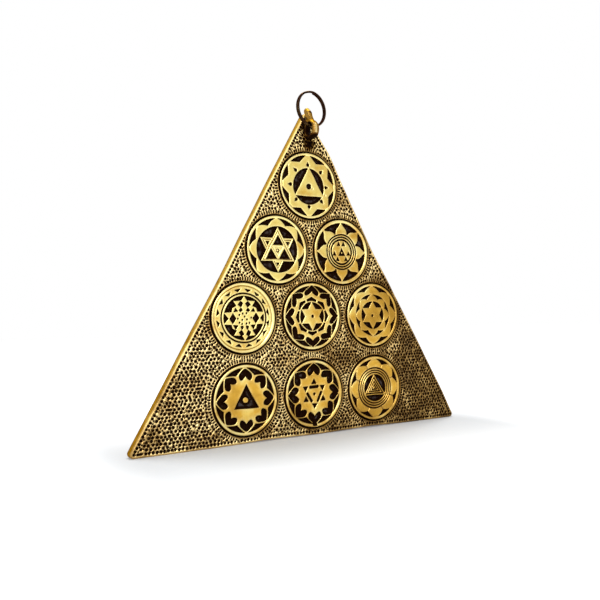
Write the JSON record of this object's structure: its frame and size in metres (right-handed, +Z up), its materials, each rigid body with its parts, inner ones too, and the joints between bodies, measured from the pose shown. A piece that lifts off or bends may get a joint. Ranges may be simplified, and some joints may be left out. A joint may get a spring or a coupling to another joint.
{
  "type": "navagraha yantra wall hanging",
  "caption": "Cast brass triangular wall plate with a stippled face and rows of inset round yantra medallions, hung from a lug at its apex by a steel split ring.",
  "frame": {"origin": "the hang point: the inner top of the split ring, where a hook or nail carries it", "axes": "+Z up, +X to the right of someone who faces the medallions, -Y out of the front face, +Y towards the wall"},
  "size_m": [0.1976, 0.0154, 0.1821],
  "materials": {
    "plate_brass": "cast and stippled, dark patina in the pits, brushed high spots",
    "medallion_brass": "polished relief, dark patina in the recesses",
    "lug_brass": "polished by handling, dark in the hollows",
    "ring_steel": "darkened spring steel with worn edges"
  },
  "bodies": {
    "ring": {"split_ring": "ring_steel"},
    "plate_body": {"plate": "plate_brass", "medallion_top": "medallion_brass", "medallion_upper_left": "medallion_brass", "medallion_upper_right": "medallion_brass", "medallion_middle_left": "medallion_brass", "medallion_middle_centre": "medallion_brass", "medallion_middle_right": "medallion_brass", "medallion_bottom_left": "medallion_brass", "medallion_bottom_centre": "medallion_brass", "medallion_bottom_right": "medallion_brass", "hanging_lug": "lug_brass"}
  },
  "joints": [
    {"name": "ring_swing", "type": "hinge", "parent": "ring", "child": "plate_body", "pos_m": [0, 0, -0.0174], "axis": [1, 0, 0], "range_deg": [-175, 95]}
  ]
}
